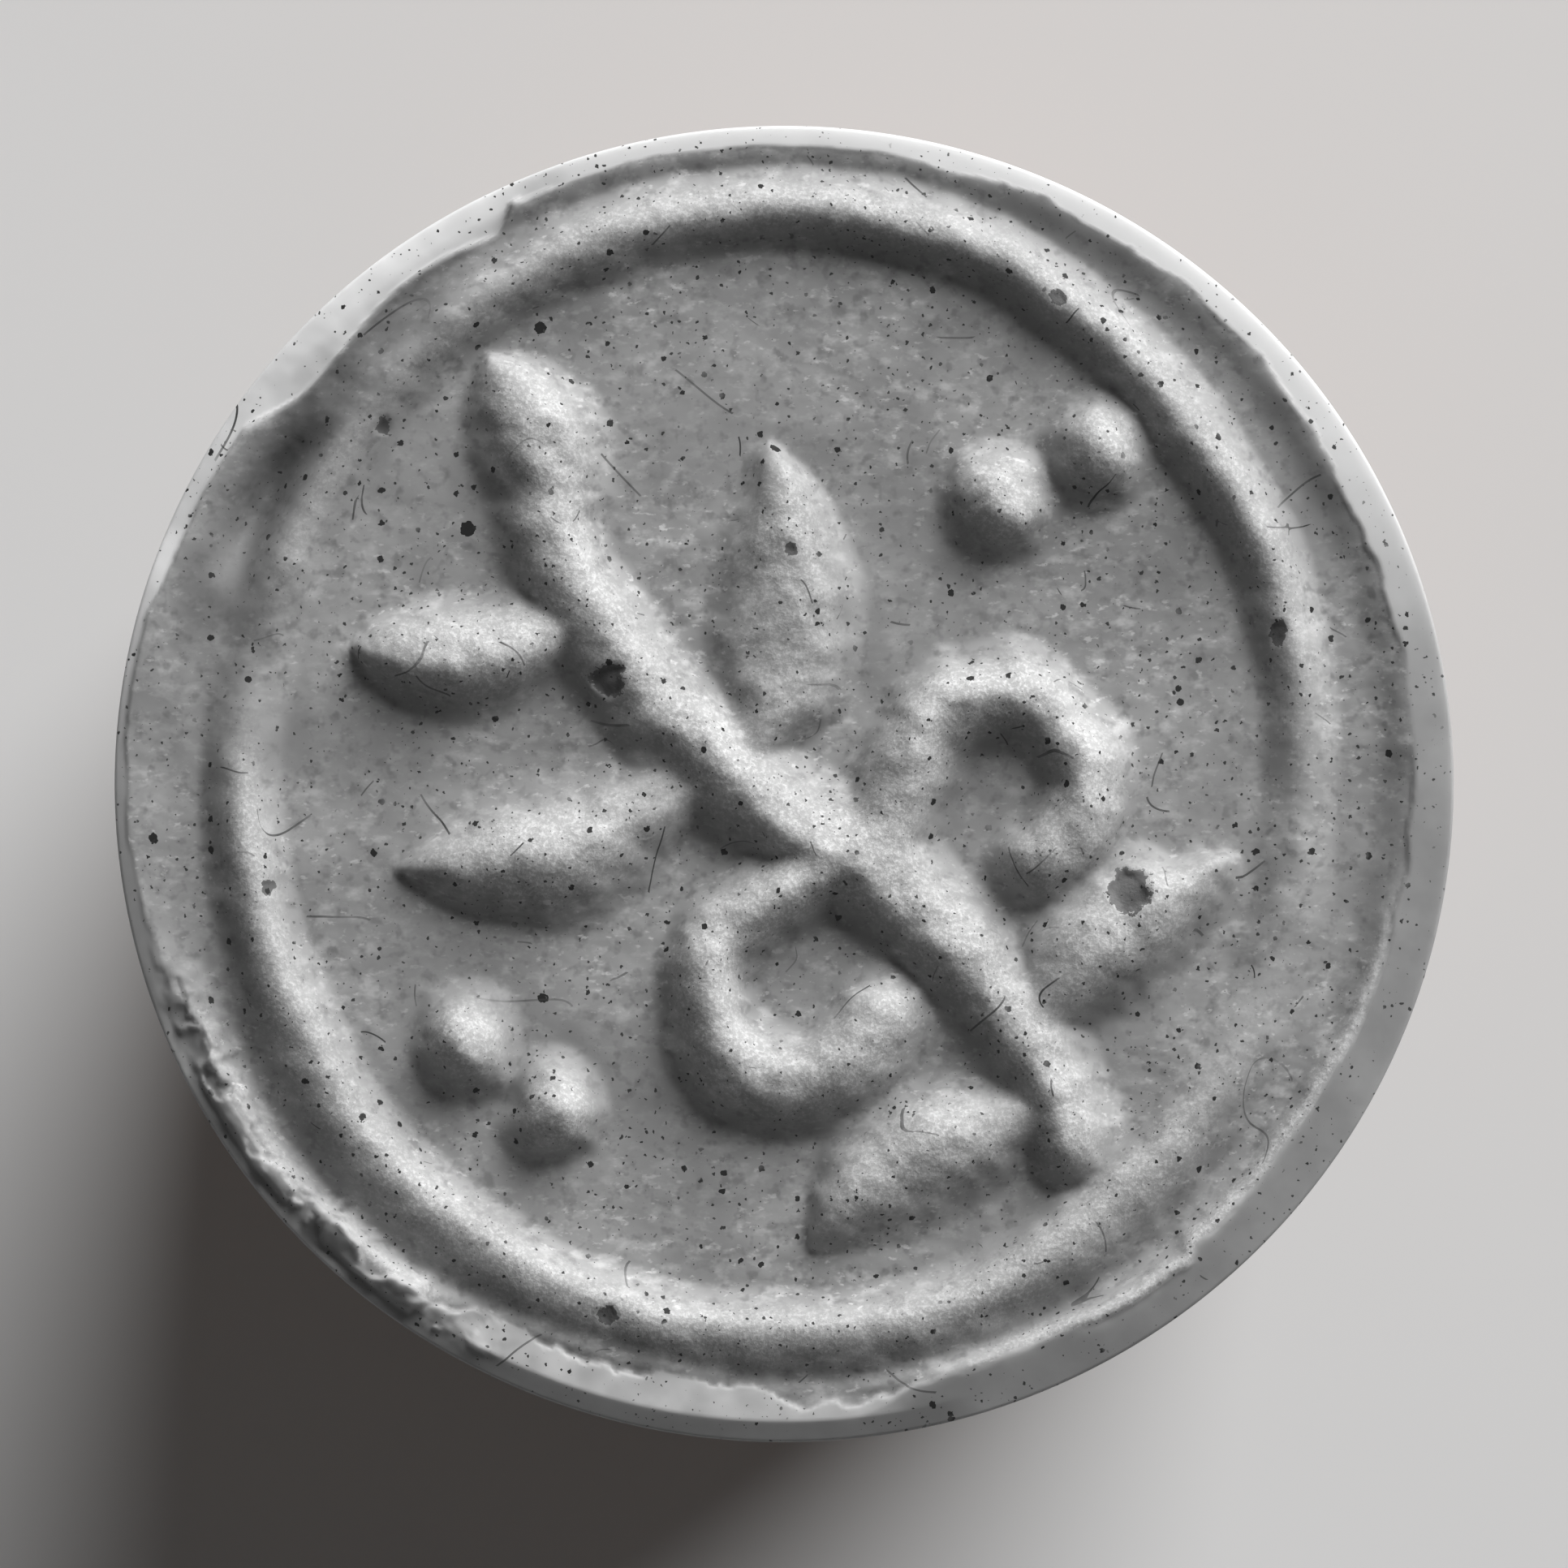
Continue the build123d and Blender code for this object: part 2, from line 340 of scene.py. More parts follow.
def arc_chain(start, heading, bends):
    """Tangent arcs from a point and a heading, each as centre, radius, first angle and signed turn."""
    x, y = start
    heading = radians(heading)
    arcs = []
    for radius, turn in bends:
        side = 1 if turn > 0 else -1
        centre_x = x - side * radius * sin(heading)
        centre_y = y + side * radius * cos(heading)
        first = atan2(y - centre_y, x - centre_x)
        arcs.append((centre_x, centre_y, radius, first, radians(turn)))
        x = centre_x + radius * cos(first + radians(turn))
        y = centre_y + radius * sin(first + radians(turn))
        heading += radians(turn)
    return arcs


def chain_point(arcs, place):
    """Point of a chain and its heading in degrees, from a place between 0 and 1."""
    run = place * sum(radius * abs(turn) for _, _, radius, _, turn in arcs)
    for centre_x, centre_y, radius, first, turn in arcs:
        length = radius * abs(turn)
        if run <= length + TINY:
            angle = first + turn * run / length
            side = 1 if turn > 0 else -1
            heading = degrees(angle + side * pi / 2)
            return (centre_x + radius * cos(angle), centre_y + radius * sin(angle)), heading
        run -= length


def chain_distance(arcs, x, y):
    """Distance from a chain's middle line."""
    nearest = np.full(x.shape, np.inf)
    for centre_x, centre_y, radius, first, turn in arcs:
        middle = first + turn / 2
        away = np.abs((np.arctan2(y - centre_y, x - centre_x) - middle + pi) % (2 * pi) - pi)
        beside = np.abs(np.hypot(x - centre_x, y - centre_y) - radius)
        ends = []
        for angle in (first, first + turn):
            ends.append(np.hypot(x - centre_x - radius * cos(angle), y - centre_y - radius * sin(angle)))
        nearest = np.minimum(nearest, np.where(away <= abs(turn) / 2, beside, np.minimum(*ends)))
    return nearest


def leaf_height(root, heading, length, width, bend, x, y):
    """Curved leaf that swells in the middle of its length and sinks towards its ends."""
    ahead = cos(radians(heading))
    aside = sin(radians(heading))
    u = ((x - root[0]) * ahead + (y - root[1]) * aside) / length
    v = -(x - root[0]) * aside + (y - root[1]) * ahead
    swell = np.clip(1 - (2 * u - 1) ** 2, 0, 1)
    half = width / 2 * leaf_spread * swell**leaf_swell
    return swell**leaf_sink * mound(np.abs(v - bend * swell) / np.maximum(half, TINY))


def ring_relief(x, y):
    """Height of the ring, a little out of true and worn down along some stretches."""
    theta = np.degrees(np.arctan2(y - ring_shift[1], x - ring_shift[0]))
    reach = np.hypot(x - ring_shift[0], y - ring_shift[1])
    wander = unevenness(x, y, ring_wander) + unevenness(x, y, ring_jitter)
    beyond = reach - ellipse_radius(theta, ring_across, ring_along) - wander
    worn = 0
    for stretch, share in ring_worn:
        worn = np.maximum(worn, share * angle_window(theta, *stretch))
    outer_half = ring_half * (1 + ring_broadening * angle_window(theta, *ring_broad_stretch))
    return ring_height * (1 - worn) * mound(np.abs(beyond) / np.where(beyond > 0, outer_half, ring_half))


def sprig_relief(x, y):
    """Height of the stem with its leaves, tendrils and berries."""
    stem = arc_chain(stem_start, stem_heading, stem_bends)
    forms = [mound(chain_distance(stem, x, y) / stem_half)]
    for place, lean, length, width, bend in sprig_leaves:
        root, heading = chain_point(stem, place)
        forms.append(leaf_height(root, heading + lean, length, width, bend, x, y))
    for place, lean, bends in sprig_tendrils:
        root, heading = chain_point(stem, place)
        forms.append(mound(chain_distance(arc_chain(root, heading + lean, bends), x, y) / tendril_half))
    for centre, turn in berry_pairs:
        for side in (0, 180):
            berry_x = centre[0] + berry_spread * cos(radians(turn + side))
            berry_y = centre[1] + berry_spread * sin(radians(turn + side))
            forms.append(mound(np.hypot(x - berry_x, y - berry_y) / berry_half))
    return relief_height * joined(forms)


def relief(x, y):
    """Height of the ring and the sprig above the field, with their wear."""
    wear = unevenness(x, y, relief_wear)
    ring = ring_relief(x, y) * (1 + ring_wear * wear)
    bent_x = x + unevenness(x, y, sprig_bend_x)
    bent_y = y + unevenness(x, y, sprig_bend_y)
    sprig = sprig_relief(bent_x, bent_y)
    sprig = sprig * (sprig_level + unevenness(bent_x, bent_y, sprig_swell) + sprig_wear * wear)
    return joined((sprig, ring))


def bubbles(x, y):
    """Depth of the burst bubbles, and a share that grows towards their middle, for their painted shade."""
    depth = np.zeros(x.shape)
    pit_shade = np.zeros(x.shape)
    bent_x = x + unevenness(x, y, pit_bend_x)
    bent_y = y + unevenness(x, y, pit_bend_y)
    for bubble_x, bubble_y, radius in bubble_pits:
        away = np.hypot(bent_x - bubble_x, bent_y - bubble_y) / radius
        depth = np.maximum(depth, pit_depth * radius * smooth(pit_steepness * (1 - away)))
        pit_shade = np.maximum(pit_shade, 1 - away / pit_shade_reach)
    return depth, pit_shade


def lip_edge(theta):
    """How far the margin reaches in from the outline: its even run, and its run with flap and tears."""
    turn = theta % 360
    even = lip_width - lip_shift[0] * np.cos(np.radians(theta)) - lip_shift[1] * np.sin(np.radians(theta))
    for stretch, change in lip_changes:
        even = even + change * angle_window(theta, *stretch)
    wave = 1 + flap_wave * np.cos(2 * pi * (turn - flap_wave_angle) / flap_wave_length)
    flap = flap_width * smooth((flap_last - turn) / flap_fall) * wave
    tail = tail_width * smooth((tail_last - turn) / tail_fall)
    flap = smooth((turn - flap_first) / flap_rise) * np.maximum(flap, tail)
    ragged = lip_ragged
    for stretch, change in ragged_changes:
        ragged = ragged + change * angle_window(theta, *stretch)
    ragged = ragged * (1 - calm_share * angle_window(theta, *calm_stretch))
    notch = bell(turn, notch_angle, notch_half)
    flake = smooth((turn - flake_first) / flake_rise) * smooth((flake_last - turn) / flake_fall)
    torn = np.maximum(even * (1 - angle_window(theta, *flap_stretch)), flap)
    tears = ragged * unevenness(theta, theta * 0, lip_tears)
    torn = torn + tears - notch_depth * notch - flake_depth * flake
    return even, np.maximum(torn, lip_least)


def torn_ridges(x, y, theta, inset):
    """Height of the torn ridges and flakes at the lower left."""
    creases = 1 - np.minimum(1, np.abs(unevenness(x, y, torn_creases)))
    flakes = smooth((unevenness(x, y, torn_flakes) + torn_flake_bias) / torn_flake_edge)
    height = (torn_crest * creases + torn_flake * flakes) * angle_window(theta, *torn_stretch)
    return height * smooth((inset - torn_first) / torn_rise) * smooth((torn_last - inset) / torn_fall)


def bevel_drop(inset, shelf):
    """How far the margin falls away towards its edge."""
    width = bevel_width + (shelf_inset - bevel_width) * shelf
    slope = bevel_slope + (shelf_slope - bevel_slope) * shelf
    return slope * np.maximum(width - inset, 0) + edge_round * np.clip(1 - inset / edge_round, 0, 1) ** 2


def paleness(x, y, theta, inset, edge, raised, ridge, step):
    """Share by which the face is paler than its base, partly painted light on the margin, below 0 where
    painted shade darkens a trough.
    """
    low_side = angle_window(theta, *low_stretch)
    shelf = angle_window(theta, *shelf_stretch)
    patchy = np.clip(0.5 + unevenness(x, y, pale_patches), 0, 1)
    pale = smooth(raised / relief_height * frost_gain - frost_start) * (1 - step)
    band = low_side * (1 - band_shelf_loss * shelf) * bell(inset - edge, band_place, band_half)
    pale = np.maximum(pale, band_pale * patchy * band)
    pale = np.maximum(pale, ridge * (ridge_pale + ridge_patchy * patchy) * (1 - step))
    on_shelf = shelf * smooth((inset - shelf_inset) / shelf_edge + 0.5)
    # Painted light in part: the margin and the flap are paler on their side toward the key
    on_margin = margin_pale + flap_pale * angle_window(theta, *pale_flap_stretch)
    on_margin = on_margin * angle_window(theta, *lit_margin_stretch)
    pale = np.maximum(pale, step * (on_margin + (shelf_pale + unevenness(x, y, shelf_patches)) * on_shelf))
    # Painted shade in the trough at the upper left
    trough_shade = angle_window(theta, *shade_trough_stretch) * bell(inset, shade_trough_inset, shade_trough_half, shade_trough_power)
    return pale - shade_trough_share * trough_shade * (1 - step)


def face_shape(x, y):
    """Level of points of the face, and their shares: on the margin, paler than the base, and of painted
    shade in a pit.
    """
    theta = np.degrees(np.arctan2(y, x))
    inset = np.maximum(ellipse_radius(theta, half_width, half_height) - np.hypot(x, y), 0)
    even, edge = lip_edge(theta)
    low_side = angle_window(theta, *low_stretch)
    shelf = angle_window(theta, *shelf_stretch)
    raised = relief(x, y)
    pit, pit_shade_share = bubbles(x, y)
    torn = torn_ridges(x, y, theta, inset)

    hollow = angle_window(theta, *hollow_stretch) * bell(inset, hollow_inset, hollow_half)
    bank = lip_rise * (bank_share + bank_low_share * low_side)
    bank = bank * (1 - bank_flattening * angle_window(theta, *flat_stretch)) * (1 - bank_shelf_loss * shelf)
    width = bank_width - bank_low_narrowing * low_side
    ridge = angle_window(theta, *ridge_stretch) * bell(inset - edge, ridge_place, ridge_half)
    groove = angle_window(theta, *ridge_stretch) * bell(inset - edge, groove_place, groove_half)
    inner = field_level + raised + unevenness(x, y, field_swell) + unevenness(x, y, field_grain)
    inner = inner - hollow_depth * hollow - pit
    inner = inner + bank * smooth((even + width - inset) / width) ** bank_power
    inner = inner + ridge_height * ridge - groove_depth * groove + torn

    bevel = bevel_drop(inset, shelf)
    margin = field_level + bank + margin_rise - shelf_drop * shelf - bevel + unevenness(x, y, margin_swell)
    grain = angle_window(theta, *torn_stretch) * unevenness(x, y, torn_grain)
    margin = margin + torn + grain * smooth(inset / torn_grain_rise)
    film = angle_window(theta, *film_stretch)
    margin = margin * (1 - film) + (inner + film_rise - bevel) * film

    step = smooth((edge - inset) / lip_step + 0.5)
    pale = paleness(x, y, theta, inset, edge, raised, ridge, step)
    return inner * (1 - step) + margin * step, step, pale, pit_shade_share


def lattice_radius(step):
    """Part of the radius that a lattice ring lies at. The rings are closer together near the edge."""
    part = step / lattice_rings
    return (1 + lattice_pull) * part - lattice_pull * part**lattice_power


def lattice():
    """Points of the face in plan, in rings of 6, 12, 18 and so on, with triangles and first points."""
    points = [np.zeros((1, 2))]
    firsts = [0]
    count = 1
    for step in range(1, lattice_rings + 1):
        ring_count = lattice_sides * step
        turn = np.arange(ring_count) * (2 * pi / ring_count)
        part = lattice_radius(step)
        ring = (part * half_width * np.cos(turn), part * half_height * np.sin(turn))
        points.append(np.column_stack(ring))
        firsts.append(count)
        count += ring_count
    faces = []
    for step in range(lattice_rings):
        inner_count = lattice_sides * step
        outer_count = inner_count + lattice_sides
        for side in range(lattice_sides):
            for place in range(step + 1):
                outer = firsts[step + 1] + (side * (step + 1) + place) % outer_count
                outer_next = firsts[step + 1] + (side * (step + 1) + place + 1) % outer_count
                inner = firsts[step] + ((side * step + place) % inner_count if step else 0)
                faces.append((outer, outer_next, inner))
                if place < step:
                    inner_next = firsts[step] + (side * step + place + 1) % inner_count
                    faces.append((inner, outer_next, inner_next))
    return np.concatenate(points), faces, firsts


def cast_mesh():
    """The cast: its relief face, its wall, its underside and its spigot, with the shares of its points."""
    plan, faces, firsts = lattice()
    level, on_margin, on_relief, pit_shade_share = face_shape(plan[:, 0], plan[:, 1])
    face_points = np.column_stack((plan, level))
    edge_count = lattice_sides * lattice_rings
    turn = np.arange(edge_count) * (2 * pi / edge_count)
    outline = np.column_stack((half_width * np.cos(turn), half_height * np.sin(turn)))
    neck = spigot_radius * np.column_stack((np.cos(turn), np.sin(turn)))
    profile = [(outline, field_level - wall_drop)]
    for inset, height in wall_foot:
        profile.append((outline - inset * outline / half_width, rim_level + height))
    profile += [(neck, rim_level), (neck, cast_foot), (neck * spigot_cap, cast_foot)]
    rows = [np.column_stack((flat, np.full(edge_count, height))) for flat, height in profile]
    vertices = np.concatenate([face_points] + rows)
    first = firsts[lattice_rings]
    start = len(face_points)
    for row in rows:
        for place in range(edge_count):
            after = (place + 1) % edge_count
            faces.append((first + place, start + place, start + after, first + after))
        first = start
        start += edge_count
    faces.append(tuple(range(first + edge_count - 1, first - 1, -1)))
    shares = {}
    for name, share in (("margin", on_margin), ("relief", on_relief), ("pit", pit_shade_share)):
        shares[name] = np.concatenate((share, np.zeros(len(vertices) - len(share))))
    return vertices * MM, faces, shares


def thread_mesh():
    """The stud: a threaded end with a chamfered tip, and a plain end that sits in the head."""
    stud_low, stud_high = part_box("head_stud")
    radius = (stud_high.x - stud_low.x) / 2 / MM
    foot = stud_low.z / MM
    top = stud_high.z / MM
    thread_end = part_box("washer")[1].z / MM
    row_count = round((thread_end - foot) / thread_pitch * thread_rows_per_turn)
    levels = np.concatenate((np.linspace(foot, thread_end, row_count + 1), [top]))
    turn = np.arange(thread_sides) * (2 * pi / thread_sides)
    level, angle = np.meshgrid(levels, turn, indexing="ij")
    phase = (level / thread_pitch - angle / (2 * pi)) % 1
    groove = thread_depth * np.clip((np.abs(2 * phase - 1) - thread_crest) / thread_flank, 0, 1)
    groove = np.where(level > thread_end - thread_stop, 0, groove)
    around = np.minimum(radius - groove, radius - thread_chamfer + level - foot)
    across = (around * np.cos(angle)).ravel()
    along = (around * np.sin(angle)).ravel()
    wall = np.column_stack((across, along, level.ravel()))
    vertices = np.concatenate((wall, [(0, 0, foot), (0, 0, top)]))
    faces = []
    for row in range(len(levels) - 1):
        low = row * thread_sides
        high = low + thread_sides
        for side in range(thread_sides):
            after = (side + 1) % thread_sides
            faces.append((low + side, low + after, high + after, high + side))
    last = (len(levels) - 1) * thread_sides
    for side in range(thread_sides):
        after = (side + 1) % thread_sides
        faces.append((after, side, len(wall)))
        faces.append((last + side, last + after, len(wall) + 1))
    return vertices * MM, faces


def new_material(name):
    """An empty node material with its shader and object coordinates."""
    material = bpy.data.materials.new(name)
    material.use_nodes = True
    nodes = material.node_tree.nodes
    shader = nodes["Principled BSDF"]
    place = nodes.new("ShaderNodeTexCoord").outputs["Object"]
    return material, material.node_tree, shader, place


def grey(level):
    """A neutral colour."""
    return (level, level, level)


def noise(tree, place, size, detail=3.0, roughness=0.55, stretch=None):
    """Noise value with features of a size in millimetres, squeezed along the axes if asked."""
    if stretch:
        mapping = tree.nodes.new("ShaderNodeMapping")
        mapping.inputs["Scale"].default_value = stretch
        tree.links.new(place, mapping.inputs["Vector"])
        place = mapping.outputs["Vector"]
    texture = tree.nodes.new("ShaderNodeTexNoise")
    texture.inputs["Scale"].default_value = 1 / (size * MM)
    texture.inputs["Detail"].default_value = detail
    texture.inputs["Roughness"].default_value = roughness
    tree.links.new(place, texture.inputs["Vector"])
    return texture.outputs["Fac"]


def ramp(tree, value, *stops):
    """Colours along a value, as (place, colour) stops."""
    node = tree.nodes.new("ShaderNodeValToRGB")
    elements = node.color_ramp.elements
    while len(elements) < len(stops):
        elements.new(0.5)
    for element, (place, colour) in zip(elements, stops):
        element.position = place
        element.color = (*colour, 1)
    tree.links.new(value, node.inputs["Fac"])
    return node.outputs["Color"]


def map_range(tree, value, from_low, from_high, low, high):
    """A value mapped from one range to another, and held there."""
    node = tree.nodes.new("ShaderNodeMapRange")
    node.inputs["From Min"].default_value = from_low
    node.inputs["From Max"].default_value = from_high
    node.inputs["To Min"].default_value = low
    node.inputs["To Max"].default_value = high
    tree.links.new(value, node.inputs["Value"])
    return node.outputs["Result"]


def spread(tree, value, low, high):
    """Noise, most of which lies between 0.3 and 0.7, mapped to a range."""
    return map_range(tree, value, 0.3, 0.7, low, high)


def mix(tree, share, base, over):
    """Base colour with another colour laid over it by a share. The other may be a socket or a constant."""
    node = tree.nodes.new("ShaderNodeMix")
    node.data_type = "RGBA"
    tree.links.new(share, node.inputs["Factor"])
    tree.links.new(base, node.inputs["A"])
    if isinstance(over, tuple):
        node.inputs["B"].default_value = (*over, 1)
    else:
        tree.links.new(over, node.inputs["B"])
    return node.outputs["Result"]


def calculate(tree, operation, first, second):
    """A sum on two values, of which the second may be a constant."""
    node = tree.nodes.new("ShaderNodeMath")
    node.operation = operation
    tree.links.new(first, node.inputs[0])
    if isinstance(second, float):
        node.inputs[1].default_value = second
    else:
        tree.links.new(second, node.inputs[1])
    return node.outputs["Value"]


def times(tree, first, second):
    """Product of two values, of which the second may be a constant."""
    return calculate(tree, "MULTIPLY", first, second)


def bump(tree, height, depth, strength, under=None):
    """Surface normal pushed by a height whose full swing is a depth in millimetres."""
    node = tree.nodes.new("ShaderNodeBump")
    node.inputs["Distance"].default_value = depth * MM
    tree.links.new(height, node.inputs["Height"])
    if isinstance(strength, float):
        node.inputs["Strength"].default_value = strength
    else:
        tree.links.new(strength, node.inputs["Strength"])
    if under:
        tree.links.new(under, node.inputs["Normal"])
    return node.outputs["Normal"]


def attribute(tree, name):
    """A share that the mesh carries at its points."""
    node = tree.nodes.new("ShaderNodeAttribute")
    node.attribute_name = name
    return node.outputs["Fac"]


def bent(tree, place, size, amount):
    """Coordinates pushed about by noise, so that what is drawn on them is uneven."""
    texture = tree.nodes.new("ShaderNodeTexNoise")
    texture.inputs["Scale"].default_value = 1 / (size * MM)
    tree.links.new(place, texture.inputs["Vector"])
    push = tree.nodes.new("ShaderNodeVectorMath")
    push.operation = "MULTIPLY_ADD"
    push.inputs[1].default_value = (amount * MM, amount * MM, amount * MM)
    tree.links.new(texture.outputs["Color"], push.inputs[0])
    tree.links.new(place, push.inputs[2])
    return push.outputs["Vector"]


def specks(tree, place, cell, size, rarity):
    """1 inside small scattered specks and 0 outside, one to a cell at most, of uneven size."""
    texture = tree.nodes.new("ShaderNodeTexVoronoi")
    texture.inputs["Scale"].default_value = 1 / (cell * MM)
    tree.links.new(place, texture.inputs["Vector"])
    split = tree.nodes.new("ShaderNodeSeparateColor")
    tree.links.new(texture.outputs["Color"], split.inputs["Color"])
    reach = map_range(tree, split.outputs["Red"], rarity, 1.0, 0.0, size / cell)
    return calculate(tree, "LESS_THAN", texture.outputs["Distance"], reach)


def lint(tree, place, bend, width, rarity):
    """1 on short thin curved lines of even width and 0 elsewhere: pieces of a noise's level line."""
    level = noise(tree, place, bend, detail=0.0)
    slopes = []
    for direction in ((1, 0, 0), (0, 1, 0)):
        shift = tree.nodes.new("ShaderNodeVectorMath")
        shift.inputs[1].default_value = [width * MM * part for part in direction]
        tree.links.new(place, shift.inputs[0])
        beside = noise(tree, shift.outputs["Vector"], bend, detail=0.0)
        change = calculate(tree, "SUBTRACT", beside, level)
        slopes.append(times(tree, change, change))
    slope = calculate(tree, "SQRT", calculate(tree, "ADD", *slopes), 0.0)
    away = calculate(tree, "ABSOLUTE", calculate(tree, "SUBTRACT", level, 0.5), 0.0)
    line = calculate(tree, "LESS_THAN", away, slope)
    piece = calculate(tree, "GREATER_THAN", noise(tree, place, bend * lint_piece, detail=0.0), rarity)
    return times(tree, line, piece)


# Specks of dust, as cell, largest radius, share of cells without a speck, and tone
dust_kinds = (
    (0.7, 0.07, 0.6, 0.015),
    (0.17, 0.034, 0.45, 0.025),
    (0.075, 0.018, 0.4, 0.05),
    (0.06, 0.01, 0.3, 0.08),
)
# Lint, as size of its bends, width, and level of noise that it shows above
lint_kinds = ((1.3, 0.009, 0.66), (0.6, 0.007, 0.73))
lint_tone = 0.06
lint_piece = 0.6
# Burst bubbles get painted shade: dark where their share, made ragged, passes a rim
pit_rim = 0.23
pit_ragged = 0.2
pit_shade_tone = 0.15


def cast_tone(tree, place, margin, pale, inside, patches):
    """Colour of the cast: its substance clouded and mottled, smooth on the margin, frosted where worn, with
    painted glints in the frost, painted light on the margin's lit side and painted shade in a trough.
    """
    worn = calculate(tree, "MAXIMUM", pale, 0.0)
    clouds = noise(tree, place, size=0.9, detail=4.0)
    base = ramp(tree, clouds, (0.3, grey(0.29)), (0.7, grey(0.42)))
    pale_spots = noise(tree, place, size=0.18, roughness=0.6, stretch=(0.8, 1.2, 1.0))
    base = mix(tree, times(tree, spread(tree, pale_spots, -1.1, 1.0), patches), base, grey(0.6))
    dark_spots = noise(tree, place, size=0.13, detail=2.0)
    base = mix(tree, spread(tree, dark_spots, 0.6, -0.9), base, grey(0.2))
    smear = ramp(tree, clouds, (0.35, grey(0.29)), (0.65, grey(0.36)))
    base = mix(tree, margin, base, smear)
    base = mix(tree, times(tree, worn, 0.6), base, grey(0.56))
    # The margin's paleness, partly painted light on its side toward the key
    base = mix(tree, times(tree, worn, margin), base, grey(0.8))
    # Frost: paler grain on worn crests, which also stands for painted glints
    frost_and_glints = spread(tree, noise(tree, place, size=0.04, roughness=0.7), -0.6, 0.9)
    base = mix(tree, times(tree, times(tree, frost_and_glints, worn), inside), base, grey(0.8))
    flecks = noise(tree, place, size=0.08, roughness=0.6, stretch=(0.7, 1.2, 1.0))
    flecks = times(tree, spread(tree, flecks, -2.6, 0.8), patches)
    base = mix(tree, times(tree, flecks, inside), base, grey(0.74))
    # Painted shade: where the share falls below 0, the trough at the upper left is darkened
    return mix(tree, times(tree, pale, -1.0), base, grey(0.17))


def dust_and_pit_shade(tree, place, base):
    """Painted shade in the burst bubbles, and dust and lint, laid over a colour."""
    # Painted shade: the burst bubbles are darkened
    ragged = spread(tree, noise(tree, place, size=0.08, detail=4.0, roughness=0.7), -pit_ragged, pit_ragged)
    pit = calculate(tree, "ADD", attribute(tree, "pit"), ragged)
    base = mix(tree, calculate(tree, "GREATER_THAN", pit, pit_rim), base, grey(pit_shade_tone))
    uneven = bent(tree, place, size=0.04, amount=0.05)
    settled = spread(tree, noise(tree, place, size=0.5), 0.1, 2.5)
    for cell, size, rarity, tone in dust_kinds:
        base = mix(tree, times(tree, specks(tree, uneven, cell, size, rarity), settled), base, grey(tone))
    fading = spread(tree, noise(tree, place, size=0.7), 0.2, 1.1)
    for bend, width, rarity in lint_kinds:
        base = mix(tree, times(tree, lint(tree, place, bend, width, rarity), fading), base, grey(lint_tone))
    return base


def cast_material():
    """Pale neutral cast, waxy and mottled, with a smooth margin, worn crests, dust and lint, and painted
    light and shade: glints in the frost, a paler lit side of the margin, a dark trough and dark bubbles.
    """
    material, tree, shader, place = new_material("cast")
    margin = attribute(tree, "margin")
    pale = attribute(tree, "relief")
    inside = calculate(tree, "LESS_THAN", margin, 0.5)
    patches = spread(tree, noise(tree, place, size=1.8), 0.0, 1.0)
    base = dust_and_pit_shade(tree, place, cast_tone(tree, place, margin, pale, inside, patches))
    tree.links.new(base, shader.inputs["Base Color"])
    tree.links.new(spread(tree, noise(tree, place, size=0.15), 0.5, 0.7), shader.inputs["Roughness"])
    granular = calculate(tree, "MAXIMUM", calculate(tree, "SUBTRACT", patches, margin), 0.1)
    wrinkles = noise(tree, place, size=0.3, detail=2.0, roughness=0.5, stretch=(0.8, 1.1, 1.0))
    wrinkled = bump(tree, wrinkles, depth=0.03, strength=granular)
    gritty = times(tree, times(tree, calculate(tree, "MAXIMUM", pale, 0.0), inside), 0.6)
    grain = noise(tree, place, size=0.04, roughness=0.65)
    grained = bump(tree, grain, depth=0.02, strength=gritty, under=wrinkled)
    tree.links.new(grained, shader.inputs["Normal"])
    shader.inputs["Specular IOR Level"].default_value = 0.2
    shader.inputs["Subsurface Weight"].default_value = 0.6
    shader.inputs["Subsurface Scale"].default_value = 0.3 * MM
    shader.inputs["Subsurface Radius"].default_value = (1, 1, 1)
    return material


def brass_material():
    """Turned brass, satin, with a little tarnish."""
    material, tree, shader, place = new_material("brass")
    tarnish = noise(tree, place, size=3, detail=5.0, roughness=0.65)
    tones = ((0.3, (0.38, 0.23, 0.08)), (0.48, (0.58, 0.39, 0.15)), (0.7, (0.72, 0.53, 0.25)))
    tree.links.new(ramp(tree, tarnish, *tones), shader.inputs["Base Color"])
    turning = noise(tree, place, size=0.4, detail=2.0, roughness=0.5, stretch=(0.15, 0.15, 2.5))
    tree.links.new(spread(tree, turning, 0.26, 0.42), shader.inputs["Roughness"])
    tree.links.new(bump(tree, turning, depth=0.01, strength=0.5), shader.inputs["Normal"])
    shader.inputs["Metallic"].default_value = 1.0
    return material


def steel_material():
    """Plain steel with a faint machined tone."""
    material, tree, shader, place = new_material("steel")
    machined = noise(tree, place, size=2, detail=4.0, roughness=0.6)
    tones = ((0.3, (0.45, 0.45, 0.46)), (0.7, (0.62, 0.62, 0.62)))
    tree.links.new(ramp(tree, machined, *tones), shader.inputs["Base Color"])
    tree.links.new(spread(tree, noise(tree, place, size=0.3), 0.28, 0.45), shader.inputs["Roughness"])
    shader.inputs["Metallic"].default_value = 1.0
    return material


